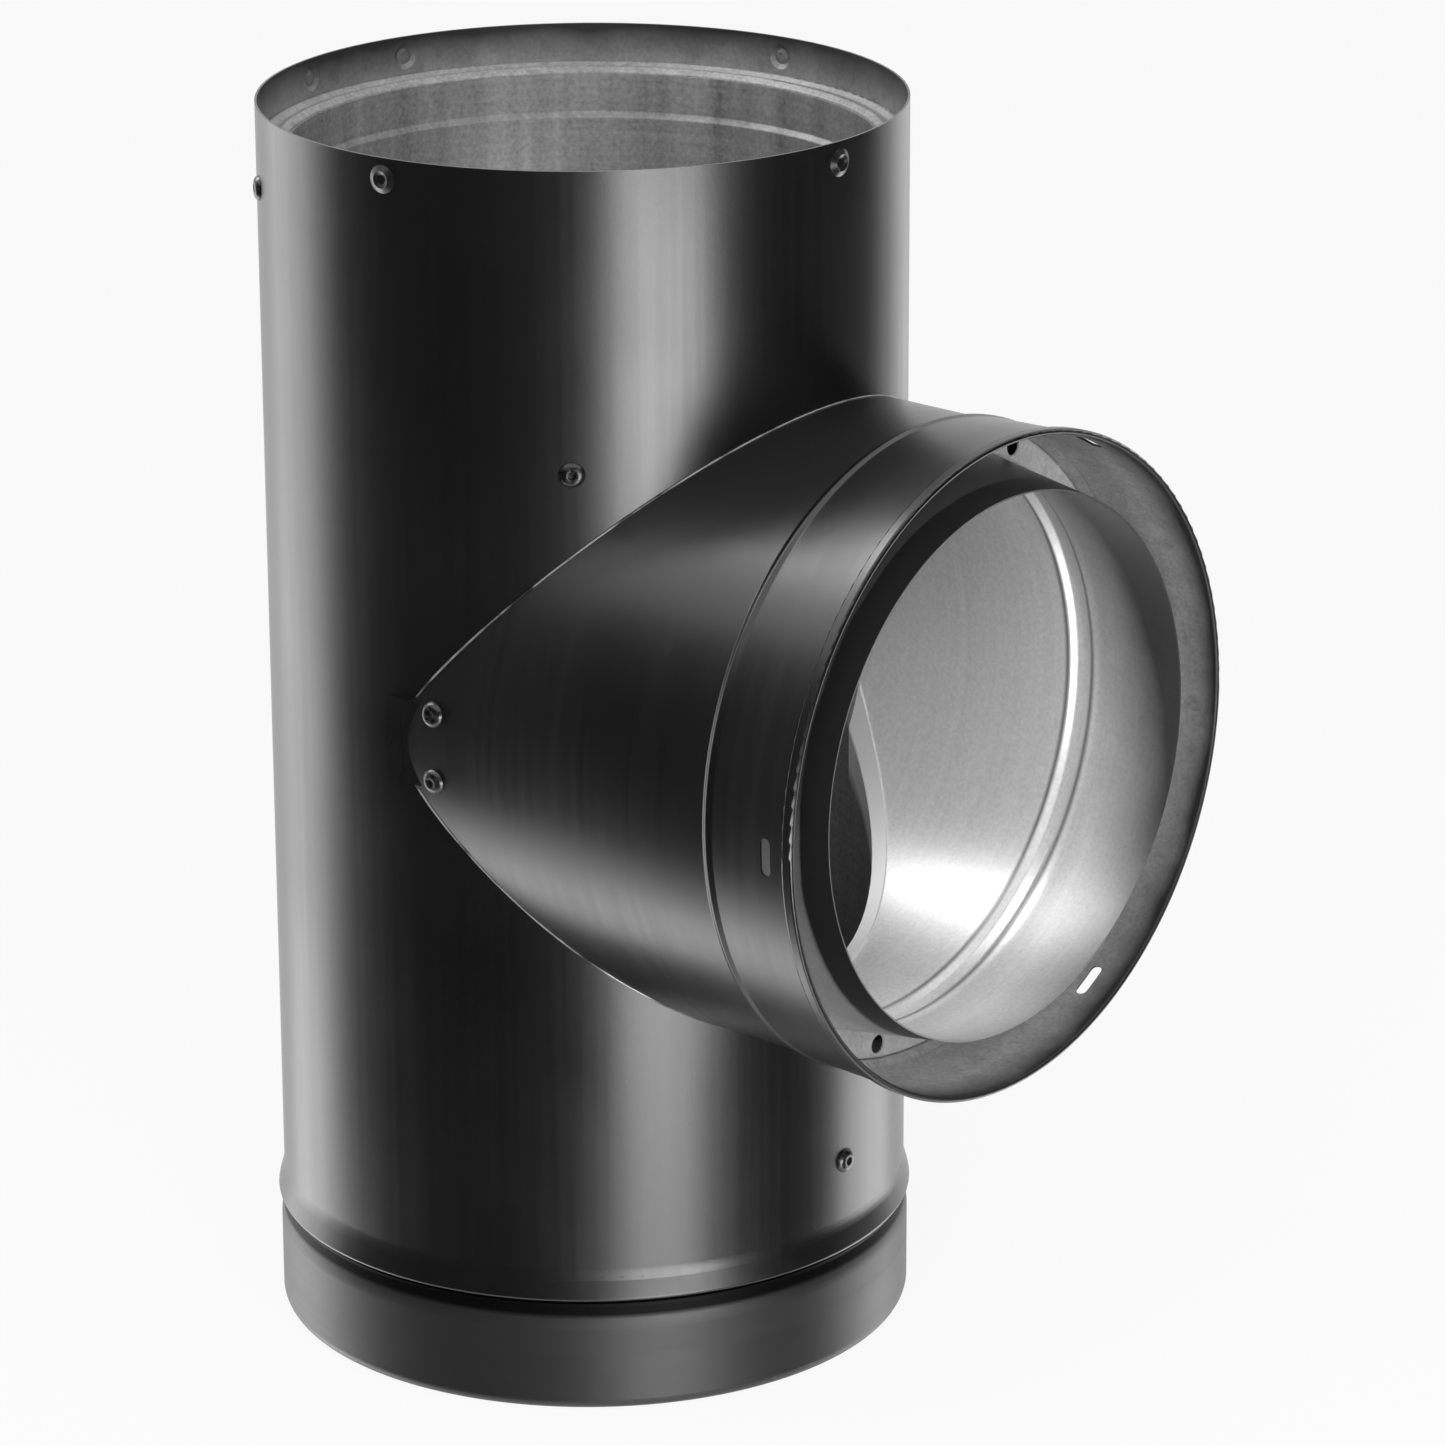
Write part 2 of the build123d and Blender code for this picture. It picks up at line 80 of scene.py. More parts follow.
# Overspray of the coat with painted shade inside the tubes near their rims, and painted shade on
# the branch liner's tip: an axis and a range on it
RUN_SPRAY_AND_SHADE = (ALONG_RUN, (casing_high.z - 0.020, casing_high.z - 0.001))
BRANCH_SPRAY_AND_SHADE = (ALONG_BRANCH, (collar_high.x - 0.012, collar_high.x - 0.001))
TIP_OUTSIDE_SHADE = (ALONG_BRANCH, (collar_high.x - 0.0125, collar_high.x - 0.0095))

# Painted shade at the branch liner's tip, which is wider at the top
SHADE_LEAN = 0.25
SHADE_START = collar_high.x + SHADE_LEAN * BRANCH_Z
TIP_SHADE_ZONE = ((1, 0, SHADE_LEAN), (SHADE_START - 0.036, SHADE_START - 0.008))
TIP_SHADE_DEPTH = 0.93

# Painted shade lines at both feet of the branch liner's bead
BEAD_X = collar_high.x - 0.0376
BEAD_FOOT = 0.0041
BEAD_SHADE_WIDTH = 0.0011
BEAD_SHADE_SHARE = 0.75

# Painted highlight on the run liner's turned lip: its reach from the branch's axis, how wide it
# fades, and how far towards the branch it starts
LIP_R = 0.083
LIP_FADE = 0.003
LIP_X = 0.034

# The cap: painted shade in the crease above its skirt, and the plate below which it is coated all
# over
CAP_CREASE_SHADE = (cap_high.z - 0.0040, cap_high.z - 0.0028)
CAP_PLATE_Z = 0.004

# Levels of grey, and pairs from the darkest to the lightest. The coat's own level is spread by
# two factors.
COAT_DARKEST = 0.7
COAT_LIGHTEST = 1.5
PAINT_GREY = 0.004
CAP_GREY = 0.012
# Painted shade in the cap's crease
CREASE_SHADE_GREY = 0.002
# Overspray and painted shade near the tubes' rims
OVERSPRAY_AND_SHADE_GREY = 0.03
# Painted shade on the branch liner's tip and beside its bead
TIP_SHADE_GREY = 0.02
# Painted highlight on the run liner's lip
LIP_HIGHLIGHT_GREY = 0.95
RIVET_GREYS = (0.004, 0.03)
INSIDE_GREYS = (0.42, 0.75)  # bare zinc inside the coated tubes
# The run's galvanised greys are darker as painted shade, the branch's lighter as painted light
ZINC_RUN_SHADED_GREYS = (0.2, 0.42)
ZINC_BRANCH_LIT_GREYS = (0.7, 0.95)
# The run's stainless greys are darker as painted shade, the branch's lighter as painted light
STEEL_RUN_SHADED_GREYS = (0.16, 0.42)
STEEL_BRANCH_LIT_GREYS = (0.78, 0.95)
EDGE_GREYS = (0.02, 0.6)

# Gloss: the coat is a dense enamel, and duller on the cap
COAT_SPECULAR = 1.0
CAP_SPECULAR = 0.7
# Gloss in the cap's crease, lowered with its painted shade
CREASE_SHADE_SPECULAR = 0.1
PAINT_ROUGHNESS = 0.31
CAP_ROUGHNESS = 0.43
COAT_POLISH = 0.045  # the coat is smoother by this where it is rubbed
COAT_DUST = 0.05  # and rougher by this elsewhere
ZINC_ROUGHNESS = (0.45, 0.62)
STEEL_RUN_ROUGHNESS = (0.45, 0.6)
STEEL_BRANCH_ROUGHNESS = (0.28, 0.4)
RIVET_ROUGHNESS = (0.22, 0.4)
EDGE_ROUGHNESS = (0.3, 0.5)
EDGE_METALLIC = (0.2, 0.8)
INSIDE_METALLIC = 0.5
ZINC_METALLIC = 0.3

# Heights of the fine relief
COAT_RELIEF = 0.000012
ZINC_RELIEF = 0.000015
STEEL_RELIEF = 0.000006
RIVET_RELIEF = 0.00002
EDGE_RELIEF = 0.00001

# Patterns, by how many of their features fit in a metre
SPANGLE_SCALE = 260.0
SPECK_SCALE = 900.0
STAIN_SCALE = 22.0
PEEL_SCALE = 1000.0
HANDLING_SCALE = 14.0
RAGGED_SCALE = 45.0
PATCH_SCALE = 18.0
SCUFF_SCALE = 700.0
WEAR_SCALE = 60.0
FILED_SCALE = 1500.0
SPANGLE_MIX = (0.6, 0.3, 0.1)  # one level out of a spangle's random color

# Scales of grain along a tube's axis and across it: a low scale draws the grain out
RUN_GRAIN = (7.0, 450.0)
BRANCH_GRAIN = (450.0, 7.0)
CAP_GRAIN = (500.0, 5.0)
ROLLING_GRAIN = (700.0, 8.0)
STREAK_GRAIN = (3.0, 130.0)

# Share of a surface's normal that points away from the tube's axis, where its inside or its
# outside starts and where it is full
FACING_IN = (-0.35, -0.6)
FACING_OUT = (0.35, 0.6)

# Sideways lean of a normal that is only the crease of a tube's seam, and one that is real
SEAM_LEAN = 0.035
TRUE_LEAN = 0.07

# Surroundings
FLOOR_HALF = 6
FLOOR_GREY = 0.8
FLOOR_ROUGHNESS = 0.9
FLOOR_WHITE = 0.9  # share of the floor's own white in what the camera sees of it
WORLD_LEVEL = 0.5
LAMP_DISTANCE = 1.2
CARD_DISTANCE = 1.35
CARD_STEPS = 24
CARD_GREY = 0.003

# Lamps that only reflections show, and plain ones that light the object and aren't seen: the range
# of turns to the right of the camera, the range of elevations, and the radiance
REFLECTED_LAMPS = {
    "strip_high": ((9, 42), (-20, -2), 8),
    "strip_low": ((9, 37), (-50, -20), 3.3),
    "left_high": ((-140, -107), (-20, 4), 1.5),
    "left_low": ((-140, -107), (-48, -20), 2.0),
    "right_high": ((138, 158), (-20, 10), 0.6),
    "right_low": ((99, 135), (-50, -20), 2.2),
    "branch_top": ((-132, -106), (30, 66), 7),
    "branch_low": ((-116, -88), (-58, -32), 2),
}
PLAIN_LAMPS = {
    "key": ((-20, 30), (8, 38), 5),
    "top": ((-45, 0), (45, 75), 2.5),
}

# Black cards: the range of turns, and the heights of the lower and upper edge
CARDS = {
    "front_card": ((-99, 97), (-1.3, 1.1)),
    "right_card": ((97, 124), (-0.3, 1.1)),
}


def place_camera():
    """Camera at the photograph's place, turned by its yaw, pitch and roll."""
    level = Vector((sin(CAMERA_YAW), cos(CAMERA_YAW), 0))
    forward = cos(CAMERA_PITCH) * level + Vector((0, 0, sin(CAMERA_PITCH)))
    right = Vector((cos(CAMERA_YAW), -sin(CAMERA_YAW), 0))
    up = right.cross(forward)
    rolled_right = cos(CAMERA_ROLL) * right + sin(CAMERA_ROLL) * up
    rolled_up = -sin(CAMERA_ROLL) * right + cos(CAMERA_ROLL) * up
    axes = Matrix((rolled_right, rolled_up, -forward)).transposed()
    camera = bpy.data.objects.new("camera", bpy.data.cameras.new("camera"))
    camera.matrix_world = Matrix.Translation(CAMERA_PLACE) @ axes.to_4x4()
    camera.data.lens = CAMERA_LENS
    camera.data.sensor_width = SENSOR
    camera.data.clip_end = CAMERA_REACH
    bpy.context.scene.collection.objects.link(camera)
    bpy.context.scene.camera = camera


def around(turn, elevation, distance):
    """Place at an angle to the right of the camera and above the level, seen from the tee."""
    azimuth = radians(VIEW_AZIMUTH + turn)
    rise = radians(elevation)
    way = Vector((cos(rise) * cos(azimuth), cos(rise) * sin(azimuth), sin(rise)))
    return AIM + distance * way


def flat_grey(level):
    """Opaque grey of one level."""
    return (level, level, level, 1)


class Recipe:
    """One material's nodes around its Principled shader."""

    def __init__(self, name):
        self.material = bpy.data.materials.new(name)
        self.material.use_nodes = True
        self.tree = self.material.node_tree
        self.shader = self.tree.nodes["Principled BSDF"]
        self.even_normal = None

    def feed(self, socket, value):
        """Link another node's output to a socket, or set the socket's own value."""
        if isinstance(value, bpy.types.NodeSocket):
            self.tree.links.new(value, socket)
        else:
            socket.default_value = value

    def node(self, kind, *values, **settings):
        """New node with its settings and first inputs filled in."""
        node = self.tree.nodes.new(kind)
        for key, setting in settings.items():
            setattr(node, key, setting)
        for socket, value in zip(node.inputs, values):
            self.feed(socket, value)
        return node

    def shade(self, values):
        """Fill in the shader's inputs by name."""
        for name, value in values.items():
            self.feed(self.shader.inputs[name], value)

    def math(self, operation, first, second=0.0):
        return self.node("ShaderNodeMath", first, second, operation=operation).outputs[0]

    def plus(self, total, value, share):
        """A total and a share of another value."""
        return self.math("ADD", total, self.math("MULTIPLY", value, share))

    def vector(self, operation, first, second=(0, 0, 0)):
        return self.node("ShaderNodeVectorMath", first, second, operation=operation).outputs[0]

    def measure(self, operation, first, second=(0, 0, 0)):
        """Number that a vector operation gives."""
        node = self.node("ShaderNodeVectorMath", first, second, operation=operation)
        return node.outputs["Value"]

    def dot(self, first, second):
        return self.measure("DOT_PRODUCT", first, second)

    def span(self, value, start, end, low=0.0, high=1.0):
        """Value carried from one range to another, and kept inside it."""
        return self.node("ShaderNodeMapRange", value, start, end, low, high).outputs[0]

    def noise(self, place, scale, detail=2.0):
        node = self.node("ShaderNodeTexNoise")
        self.feed(node.inputs["Vector"], place)
        self.feed(node.inputs["Scale"], scale)
        self.feed(node.inputs["Detail"], detail)
        return node.outputs[0]

    def grey(self, value, dark, light):
        """Grey between two levels."""
        ramp = self.node("ShaderNodeValToRGB", value)
        ramp.color_ramp.elements[0].color = flat_grey(dark)
        ramp.color_ramp.elements[1].color = flat_grey(light)
        return ramp.outputs[0]

    def mix(self, share, first, second):
        node = self.node("ShaderNodeMix")
        self.feed(node.inputs["Factor"], share)
        self.feed(node.inputs["A"], first)
        self.feed(node.inputs["B"], second)
        return node.outputs[0]

    def mix_color(self, share, first, second):
        node = self.node("ShaderNodeMix", data_type="RGBA")
        inputs = [socket for socket in node.inputs if socket.type == "RGBA"]
        self.feed(node.inputs["Factor"], share)
        self.feed(inputs[0], first)
        self.feed(inputs[1], second)
        return next(socket for socket in node.outputs if socket.type == "RGBA")

    def object_place(self):
        return self.node("ShaderNodeTexCoord").outputs["Object"]

    def bump(self, height, rise):
        """Relief whose full height is a rise in metres."""
        node = self.node("ShaderNodeBump")
        self.feed(node.inputs["Strength"], 1.0)
        self.feed(node.inputs["Distance"], rise)
        self.feed(node.inputs["Height"], height)
        if self.even_normal:
            self.feed(node.inputs["Normal"], self.even_normal)
        self.feed(self.shader.inputs["Normal"], node.outputs[0])

    def wall(self, about):
        """Place on the piece, and how far its surface faces away from the tube's axis.

        The relief then starts from a normal that is even all around the tube.
        """
        across, center = about
        texture = self.node("ShaderNodeTexCoord")
        normal = texture.outputs["Normal"]
        from_center = self.vector("SUBTRACT", texture.outputs["Object"], center)
        radial = self.vector("NORMALIZE", self.vector("MULTIPLY", from_center, across))
        tangent = self.vector("CROSS_PRODUCT", [1 - mask for mask in across], radial)
        sideways = self.dot(normal, tangent)
        lean = self.math("ABSOLUTE", sideways)
        stray = self.span(lean, SEAM_LEAN, TRUE_LEAN, low=1.0, high=0.0)
        excess = self.node("ShaderNodeVectorMath", tangent, operation="SCALE")
        self.feed(excess.inputs["Scale"], self.math("MULTIPLY", sideways, stray))
        even = self.vector("NORMALIZE", self.vector("SUBTRACT", normal, excess.outputs[0]))
        turned = self.node(
            "ShaderNodeVectorTransform", even,
            vector_type="NORMAL", convert_from="OBJECT", convert_to="WORLD",
        )
        self.even_normal = turned.outputs[0]
        return texture.outputs["Object"], self.dot(radial, normal)


def drawn_grain(recipe, place, about, scales, detail):
    """Grain that is long or short along the tube's axis."""
    along, over = scales
    factors = [over if mask else along for mask in about[0]]
    return recipe.noise(recipe.vector("MULTIPLY", place, factors), scale=1.0, detail=detail)


def share_along(recipe, place, axis, reach, ragged):
    """How far a place lies into a range along an axis, with an uneven edge."""
    uneven = recipe.noise(place, RAGGED_SCALE, detail=5.0)
    along = recipe.plus(recipe.dot(place, axis), uneven, ragged)
    return recipe.span(along, reach[0] + ragged / 2, reach[1] + ragged / 2)


def zinc(recipe, place, greys):
    """Color, roughness and relief of galvanised sheet, with spangles and a fine grain."""
    cells = recipe.node("ShaderNodeTexVoronoi")
    recipe.feed(cells.inputs["Vector"], place)
    recipe.feed(cells.inputs["Scale"], SPANGLE_SCALE)
    spangle = recipe.dot(cells.outputs["Color"], SPANGLE_MIX)
    stain = recipe.noise(place, STAIN_SCALE, detail=4.0)
    speckle = recipe.plus(recipe.noise(place, SPECK_SCALE, detail=3.0), spangle, share=0.35)
    tone = recipe.plus(speckle, stain, share=0.6)
    color = recipe.grey(recipe.span(tone, 0.6, 1.25), *greys)
    return color, recipe.span(speckle, 0.3, 1.0, *ZINC_ROUGHNESS), speckle


def zinc_sheet(name, greys):
    """Galvanised sheet, bare on both sides."""
    recipe = Recipe(name)
    color, roughness, speckle = zinc(recipe, recipe.object_place(), greys)
    recipe.shade({"Base Color": color, "Metallic": ZINC_METALLIC, "Roughness": roughness})
    recipe.bump(speckle, ZINC_RELIEF)
    return recipe.material


def cap_coat(recipe, place, bare, coat):
    """The cap's coat, which covers it all over below its plate and is painted blackest as shade in
    the crease above its skirt.
    """
    height = recipe.dot(place, ALONG_RUN)
    bare = recipe.math("MULTIPLY", bare, recipe.math("GREATER_THAN", height, CAP_PLATE_Z))
    # Painted shade in the crease between the casing and the cap's skirt
    crease_shade = recipe.span(height, *CAP_CREASE_SHADE)
    coat = recipe.mix_color(crease_shade, coat, flat_grey(CREASE_SHADE_GREY))
    return bare, coat, recipe.mix(crease_shade, CAP_SPECULAR, CREASE_SHADE_SPECULAR)


def coated_sheet(name, about, level, roughness, grain, spray_and_shade=None, cap=False):
    """Black coat on the outside of a formed sheet piece, bare zinc on its inside."""
    recipe = Recipe(name)
    place, outward = recipe.wall(about)
    peel = recipe.noise(place, PEEL_SCALE)
    handling = recipe.noise(place, HANDLING_SCALE, detail=5.0)
    brushed = drawn_grain(recipe, place, about, grain, detail=3.0)
    bare = recipe.span(outward, *FACING_IN)
    color, zinc_roughness, speckle = zinc(recipe, place, INSIDE_GREYS)
    if spray_and_shade:
        # Darker towards the rim inside the tube: overspray of the coat, with painted shade
        darkened_zone = share_along(recipe, place, *spray_and_shade, ragged=0.006)
        color = recipe.mix_color(darkened_zone, color, flat_grey(OVERSPRAY_AND_SHADE_GREY))
    coat = recipe.grey(handling, level * COAT_DARKEST, level * COAT_LIGHTEST)
    specular = COAT_SPECULAR
    if cap:
        bare, coat, specular = cap_coat(recipe, place, bare, coat)
    uneven_share = recipe.plus(handling, brushed, share=0.6)
    coat_roughness = recipe.span(uneven_share, 0.5, 1.1, roughness - COAT_POLISH, roughness + COAT_DUST)
    recipe.shade({
        "Base Color": recipe.mix_color(bare, coat, color),
        "Metallic": recipe.math("MULTIPLY", bare, INSIDE_METALLIC),
        "Roughness": recipe.mix(bare, coat_roughness, zinc_roughness),
        "Specular IOR Level": specular,
    })
    coat_relief = recipe.plus(peel, brushed, share=0.5)
    recipe.bump(recipe.mix(bare, coat_relief, speckle), COAT_RELIEF)
    return recipe.material


def paint_tip_shade(recipe, place, outward, color):
    """The branch liner's color with painted shade on its tip, on the tip's outside within the
    collar and beside its bead.
    """
    # Painted shade over the liner's tip, wider at the top
    uneven_share = share_along(recipe, place, *TIP_SHADE_ZONE, ragged=0.008)
    tip_shade = recipe.math("MULTIPLY", uneven_share, TIP_SHADE_DEPTH)
    # Painted shade on the tip's outside, where it lies in the gap within the collar
    darkened_zone = share_along(recipe, place, *TIP_OUTSIDE_SHADE, ragged=0.002)
    outside = recipe.math("MULTIPLY", darkened_zone, recipe.span(outward, *FACING_OUT))
    # Painted shade lines in the creases at both feet of the bead
    from_bead = recipe.math("SUBTRACT", recipe.dot(place, ALONG_BRANCH), BEAD_X)
    from_foot = recipe.math("SUBTRACT", recipe.math("ABSOLUTE", from_bead), BEAD_FOOT)
    beside = recipe.math("ABSOLUTE", from_foot)
    bead_shade = recipe.span(beside, 0.0, BEAD_SHADE_WIDTH, low=BEAD_SHADE_SHARE, high=0.0)
    shade_share = recipe.math("MAXIMUM", recipe.math("MAXIMUM", tip_shade, outside), bead_shade)
    return recipe.mix_color(shade_share, color, flat_grey(TIP_SHADE_GREY))


def painted_lip_highlight(recipe, place, color):
    """The run liner's color with a painted highlight on the turned lip around the branch hole."""
    from_branch = recipe.vector("SUBTRACT", place, (0, 0, BRANCH_Z))
    across_branch = recipe.vector("MULTIPLY", from_branch, (0, 1, 1))
    # Painted highlight on the lip, on the side towards the branch
    near = recipe.span(recipe.measure("LENGTH", across_branch), LIP_R, LIP_R - LIP_FADE)
    forward = recipe.math("GREATER_THAN", recipe.dot(place, ALONG_BRANCH), LIP_X)
    lip = recipe.math("MULTIPLY", near, forward)
    return recipe.mix_color(lip, color, flat_grey(LIP_HIGHLIGHT_GREY))


def flue_steel(name, about, greys, roughness, metallic, streakiness):
    """Steel of a flue tube with rolling marks and duller patches; painted shade at its tip on the
    branch, a painted highlight on its lip on the run.
    """
    recipe = Recipe(name)
    place, outward = recipe.wall(about)
    marks = drawn_grain(recipe, place, about, ROLLING_GRAIN, detail=4.0)
    streaks = drawn_grain(recipe, place, about, STREAK_GRAIN, detail=3.0)
    rolled = recipe.plus(recipe.noise(place, SPECK_SCALE), marks, share=0.5)
    tone = recipe.plus(rolled, streaks, streakiness)
    middle = 0.75 + streakiness / 2
    reach = 0.3 + 0.15 * streakiness
    color = recipe.grey(recipe.span(tone, middle - reach, middle + reach), *greys)
    if about == ROUND_BRANCH:
        color = paint_tip_shade(recipe, place, outward, color)
    else:
        color = painted_lip_highlight(recipe, place, color)
    uneven_share = recipe.plus(recipe.noise(place, PATCH_SCALE, detail=5.0), rolled, share=0.4)
    recipe.shade({
        "Base Color": color,
        "Metallic": metallic,
        "Roughness": recipe.span(uneven_share, 0.5, 1.1, *roughness),
    })
    recipe.bump(marks, STEEL_RELIEF)
    return recipe.material


def rivet_black(name):
    """Black coated rivets, rubbed a little thin in spots."""
    recipe = Recipe(name)
    scuffs = recipe.noise(recipe.object_place(), SCUFF_SCALE, detail=4.0)
    recipe.shade({
        "Base Color": recipe.grey(recipe.span(scuffs, 0.45, 0.75), *RIVET_GREYS),
        "Roughness": recipe.span(scuffs, 0.3, 0.7, *RIVET_ROUGHNESS),
        "Specular IOR Level": COAT_SPECULAR,
    })
    recipe.bump(scuffs, RIVET_RELIEF)
    return recipe.material


def worn_edge(name):
    """Cut sheet edge where the coat is rubbed down to the steel in places."""
    recipe = Recipe(name)
    place = recipe.object_place()
    wear = recipe.noise(place, WEAR_SCALE, detail=5.0)
    rubbed = recipe.span(wear, 0.38, 0.6)
    recipe.shade({
        "Base Color": recipe.grey(rubbed, *EDGE_GREYS),
        "Metallic": recipe.span(rubbed, *EDGE_METALLIC),
        "Roughness": recipe.span(wear, 0.3, 0.7, *EDGE_ROUGHNESS),
    })
    recipe.bump(recipe.noise(place, FILED_SCALE, detail=3.0), EDGE_RELIEF)
    return recipe.material


def dress_nodes():
    """Give every CAD node its material, by its slot and by the tube that it belongs to: the run's
    bare metals are darker copies as painted shade, the branch's lighter copies as painted light.
    """
    black_run = coated_sheet(
        "black_paint_run", ROUND_RUN, PAINT_GREY, PAINT_ROUGHNESS, RUN_GRAIN, RUN_SPRAY_AND_SHADE
    )
    black_branch = coated_sheet(
        "black_paint_branch", ROUND_BRANCH, PAINT_GREY, PAINT_ROUGHNESS, BRANCH_GRAIN, BRANCH_SPRAY_AND_SHADE
    )
    black_cap = coated_sheet(
        "matte_black_cap", ROUND_RUN, CAP_GREY, CAP_ROUGHNESS, CAP_GRAIN, cap=True
    )
    black_rivet = rivet_black("black_rivet")
    # Stainless in two copies: painted shade on the run, painted light on the branch
    steel_run_shaded = flue_steel(
        "flue_steel_run_painted_shade", ROUND_RUN, STEEL_RUN_SHADED_GREYS, STEEL_RUN_ROUGHNESS,
        metallic=0.5, streakiness=1.2,
    )
    steel_branch_lit = flue_steel(
        "flue_steel_branch_painted_light", ROUND_BRANCH, STEEL_BRANCH_LIT_GREYS, STEEL_BRANCH_ROUGHNESS,
        metallic=0.4, streakiness=0.0,
    )
    # Galvanised sheet in two copies: painted shade on the run, painted light on the branch
    zinc_run_shaded = zinc_sheet("galvanised_run_painted_shade", ZINC_RUN_SHADED_GREYS)
    zinc_branch_lit = zinc_sheet("galvanised_branch_painted_light", ZINC_BRANCH_LIT_GREYS)
    dress = {
        "black_paint": (black_run, black_branch),
        "matte_black_paint": (black_cap, black_cap),
        "black_rivet": (black_rivet, black_rivet),
        "stainless": (steel_run_shaded, steel_branch_lit),
        "galvanised": (zinc_run_shaded, zinc_branch_lit),
    }
    for row in frame["record"]["subparts"]:
        node = frame["nodes"][row["node"]]
        node.data.materials.clear()
        node.data.materials.append(dress[row["material_slot"]][row["node"] in BRANCH_NODES])


def new_mesh(name, points, faces, material):
    """Linked object with one mesh and one material."""
    mesh = bpy.data.meshes.new(name)
    mesh.from_pydata(points, [], faces)
    mesh.materials.append(material)
    obj = bpy.data.objects.new(name, mesh)
    bpy.context.scene.collection.objects.link(obj)
    return obj


def saddle_path(middle):
    """Line where the branch's tube meets the casing, on both sides of an angle about the branch."""
    path = []
    for step in range(EDGE_STEPS + 1):
        angle = radians(middle - EDGE_SPAN + 2 * EDGE_SPAN * step / EDGE_STEPS)
        y = SLEEVE_R * sin(angle)
        path.append(Vector((sqrt(EDGE_SEAT_R**2 - y**2), y, BRANCH_Z + SLEEVE_R * cos(angle))))
    return path


def saddle_edge(name, middle, material):
    """Cut edge of the branch's tube where it lies on the run, as a wire with closed ends."""
    path = saddle_path(middle)
    points = []
    for index, spot in enumerate(path):
        ahead = path[min(index + 1, EDGE_STEPS)] - path[max(index - 1, 0)]
        outward = Vector((0, spot.y, spot.z - BRANCH_Z)).normalized()
        side = ahead.cross(outward).normalized()
        for turn in range(EDGE_SIDES):
            angle = 2 * pi * turn / EDGE_SIDES
            points.append(spot + EDGE_R * (cos(angle) * side + sin(angle) * outward))
    faces = []
    for index in range(EDGE_STEPS):
        for turn in range(EDGE_SIDES):
            corner = index * EDGE_SIDES + turn
            beside = index * EDGE_SIDES + (turn + 1) % EDGE_SIDES
            faces.append((corner, beside, beside + EDGE_SIDES, corner + EDGE_SIDES))
    faces.append(range(EDGE_SIDES - 1, -1, -1))
    faces.append(range(EDGE_STEPS * EDGE_SIDES, (EDGE_STEPS + 1) * EDGE_SIDES))
    edge = new_mesh(name, points, faces, material)
    edge.data.shade_smooth()
    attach(edge, "tee")


def stage_mesh(name, points, faces, material):
    obj = new_mesh(name, points, faces, material)
    return obj


def add_floor():
    """White floor: what the camera sees of it is mostly its own white, and keeps the shadow.

    It is clear from below, so that the cap shows there when it is pulled off.
    """
    recipe = Recipe("floor")
    recipe.shade({
        "Base Color": flat_grey(FLOOR_GREY),
        "Roughness": FLOOR_ROUGHNESS,
        "Specular IOR Level": 0.0,
    })
    path = recipe.node("ShaderNodeLightPath")
    white = recipe.node("ShaderNodeEmission")
    share = recipe.math("MULTIPLY", path.outputs["Is Camera Ray"], FLOOR_WHITE)
    blend = recipe.node("ShaderNodeMixShader", share, recipe.shader.outputs[0], white.outputs[0])
    clear = recipe.node("ShaderNodeBsdfTransparent")
    below = recipe.node("ShaderNodeNewGeometry").outputs["Backfacing"]
    sided = recipe.node("ShaderNodeMixShader", below, blend.outputs[0], clear.outputs[0])
    recipe.feed(recipe.tree.nodes["Material Output"].inputs["Surface"], sided.outputs[0])
    corners = [(-1, -1), (1, -1), (1, 1), (-1, 1)]
    points = [(FLOOR_HALF * x, FLOOR_HALF * y, 0) for x, y in corners]
    floor = stage_mesh("floor", points, [range(4)], recipe.material)
    floor.visible_glossy = False
    floor.visible_shadow = False


def dark_card(name, turns, heights):
    """Curved black card around the tee, behind the lamps, that only reflections show."""
    recipe = Recipe(name)
    recipe.shade({"Base Color": flat_grey(CARD_GREY), "Specular IOR Level": 0.0})
    points = []
    for z in heights:
        for step in range(CARD_STEPS + 1):
            turn = turns[0] + (turns[1] - turns[0]) * step / CARD_STEPS
            spot = around(turn, 0, CARD_DISTANCE)
            points.append((spot.x, spot.y, z))
    above = CARD_STEPS + 1
    faces = [(i, i + 1, above + i + 1, above + i) for i in range(CARD_STEPS)]
    card = stage_mesh(name, points, faces, recipe.material)
    card.visible_camera = False
    card.visible_shadow = False
    card.visible_diffuse = False


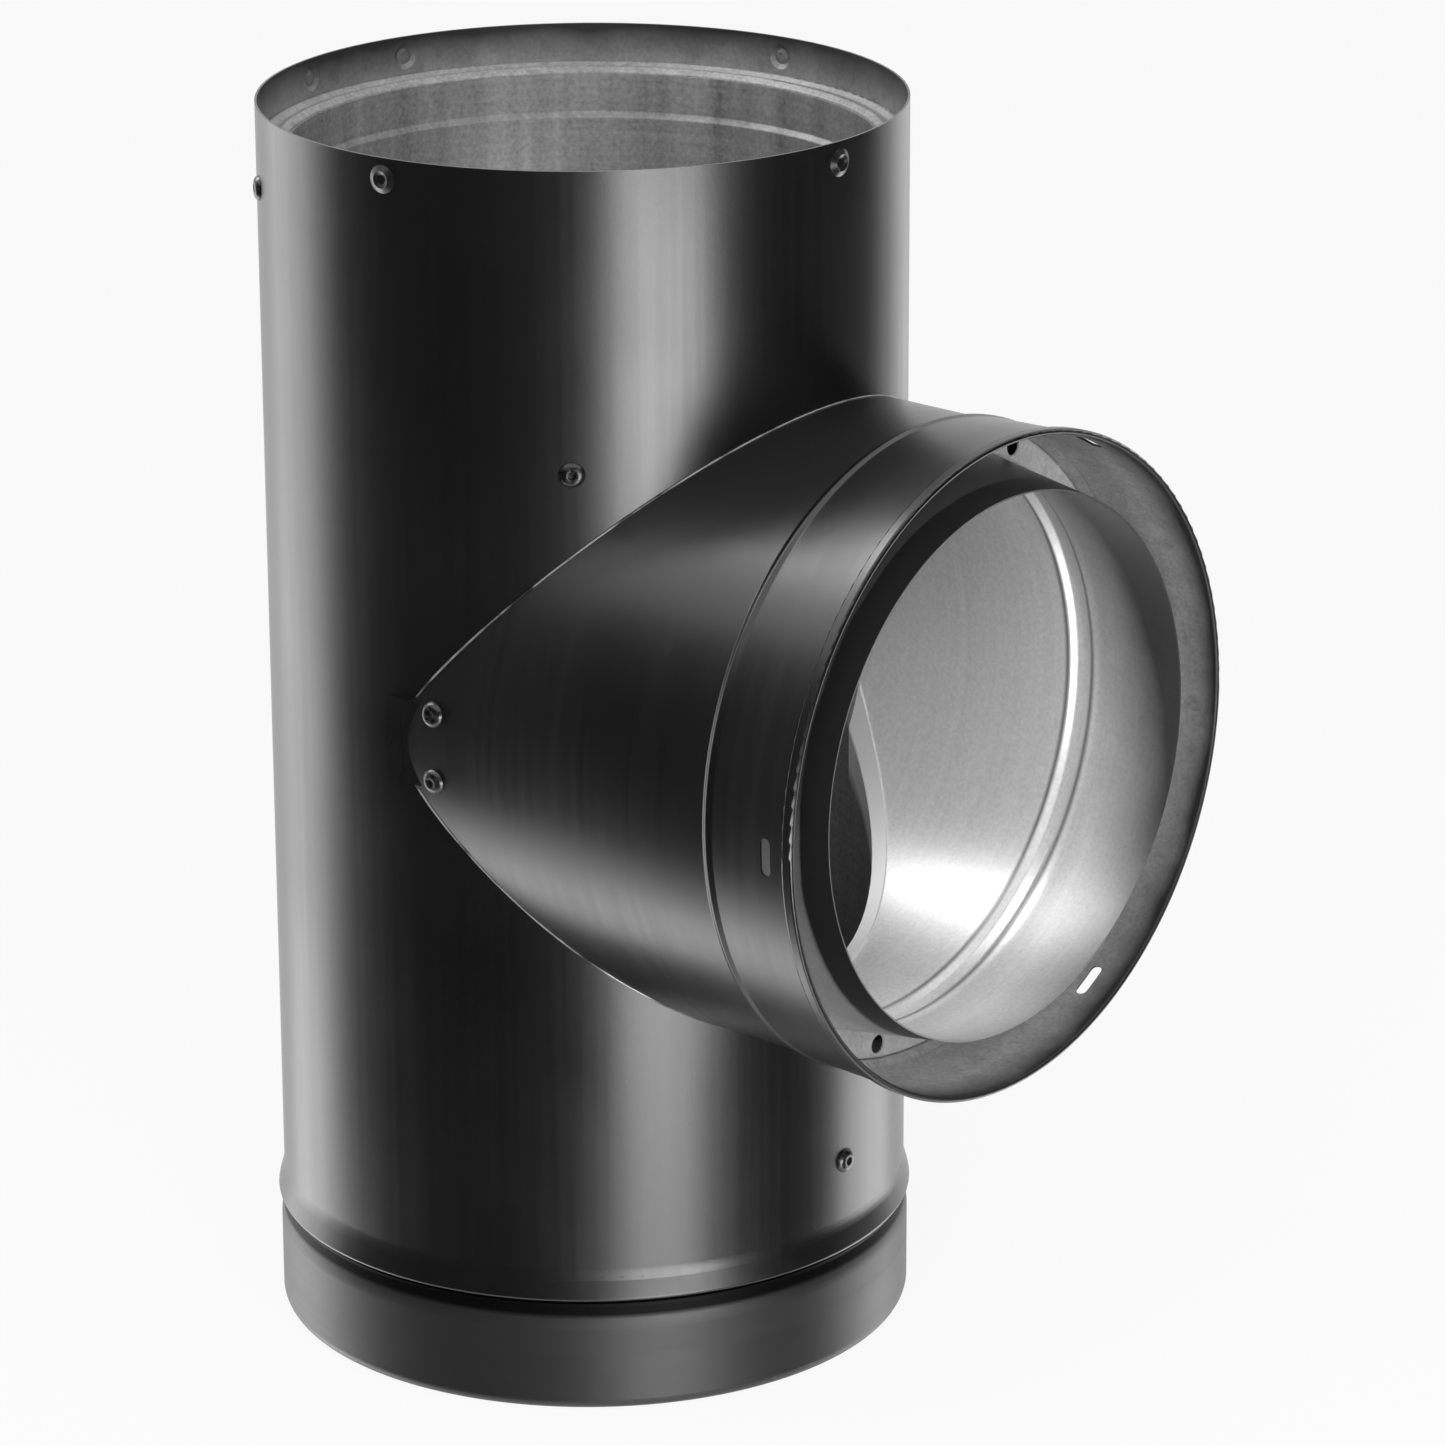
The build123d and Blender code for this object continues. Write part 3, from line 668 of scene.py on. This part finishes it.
def softbox(name, turns, elevations, radiance, plain):
    """Area light that faces the tee and fills a range of angles around it.

    A plain one lights the object and isn't seen, and only reflections show any other.
    """
    turn = sum(turns) / 2
    elevation = sum(elevations) / 2
    across = radians(turns[1] - turns[0]) * cos(radians(elevation))
    upward = radians(elevations[1] - elevations[0])
    lamp = bpy.data.lights.new(name, "AREA")
    lamp.shape = "RECTANGLE"
    lamp.size = 2 * LAMP_DISTANCE * tan(across / 2)
    lamp.size_y = 2 * LAMP_DISTANCE * tan(upward / 2)
    lamp.energy = radiance * lamp.size * lamp.size_y * pi
    light = bpy.data.objects.new(name, lamp)
    light.location = around(turn, elevation, LAMP_DISTANCE)
    light.rotation_euler = (AIM - light.location).to_track_quat("-Z", "Y").to_euler()
    light.visible_camera = False
    light.visible_diffuse = plain
    light.visible_glossy = not plain
    bpy.context.scene.collection.objects.link(light)


def add_world(level):
    """White world for the camera and for reflections, and a plain level for the rest."""
    world = bpy.data.worlds.new("world")
    world.use_nodes = True
    tree = world.node_tree
    background = tree.nodes["Background"]
    background.inputs["Color"].default_value = flat_grey(1)
    path = tree.nodes.new("ShaderNodeLightPath")
    seen = tree.nodes.new("ShaderNodeMath")
    seen.operation = "MAXIMUM"
    tree.links.new(path.outputs["Is Camera Ray"], seen.inputs[0])
    tree.links.new(path.outputs["Is Glossy Ray"], seen.inputs[1])
    strength = tree.nodes.new("ShaderNodeMapRange")
    tree.links.new(seen.outputs[0], strength.inputs["Value"])
    strength.inputs["To Min"].default_value = level
    strength.inputs["To Max"].default_value = 1.0
    tree.links.new(strength.outputs[0], background.inputs["Strength"])
    bpy.context.scene.world = world


dress_nodes()
bare_edge = worn_edge("bare_edge")
saddle_edge("saddle_edge_top", 0, bare_edge)
saddle_edge("saddle_edge_bottom", 180, bare_edge)

place_camera()
add_floor()
add_world(WORLD_LEVEL)
for name, lamp in REFLECTED_LAMPS.items():
    softbox(name, *lamp, plain=False)
for name, lamp in PLAIN_LAMPS.items():
    softbox(name, *lamp, plain=True)
for name, card in CARDS.items():
    dark_card(name, *card)

bpy.context.scene.view_settings.view_transform = "Standard"
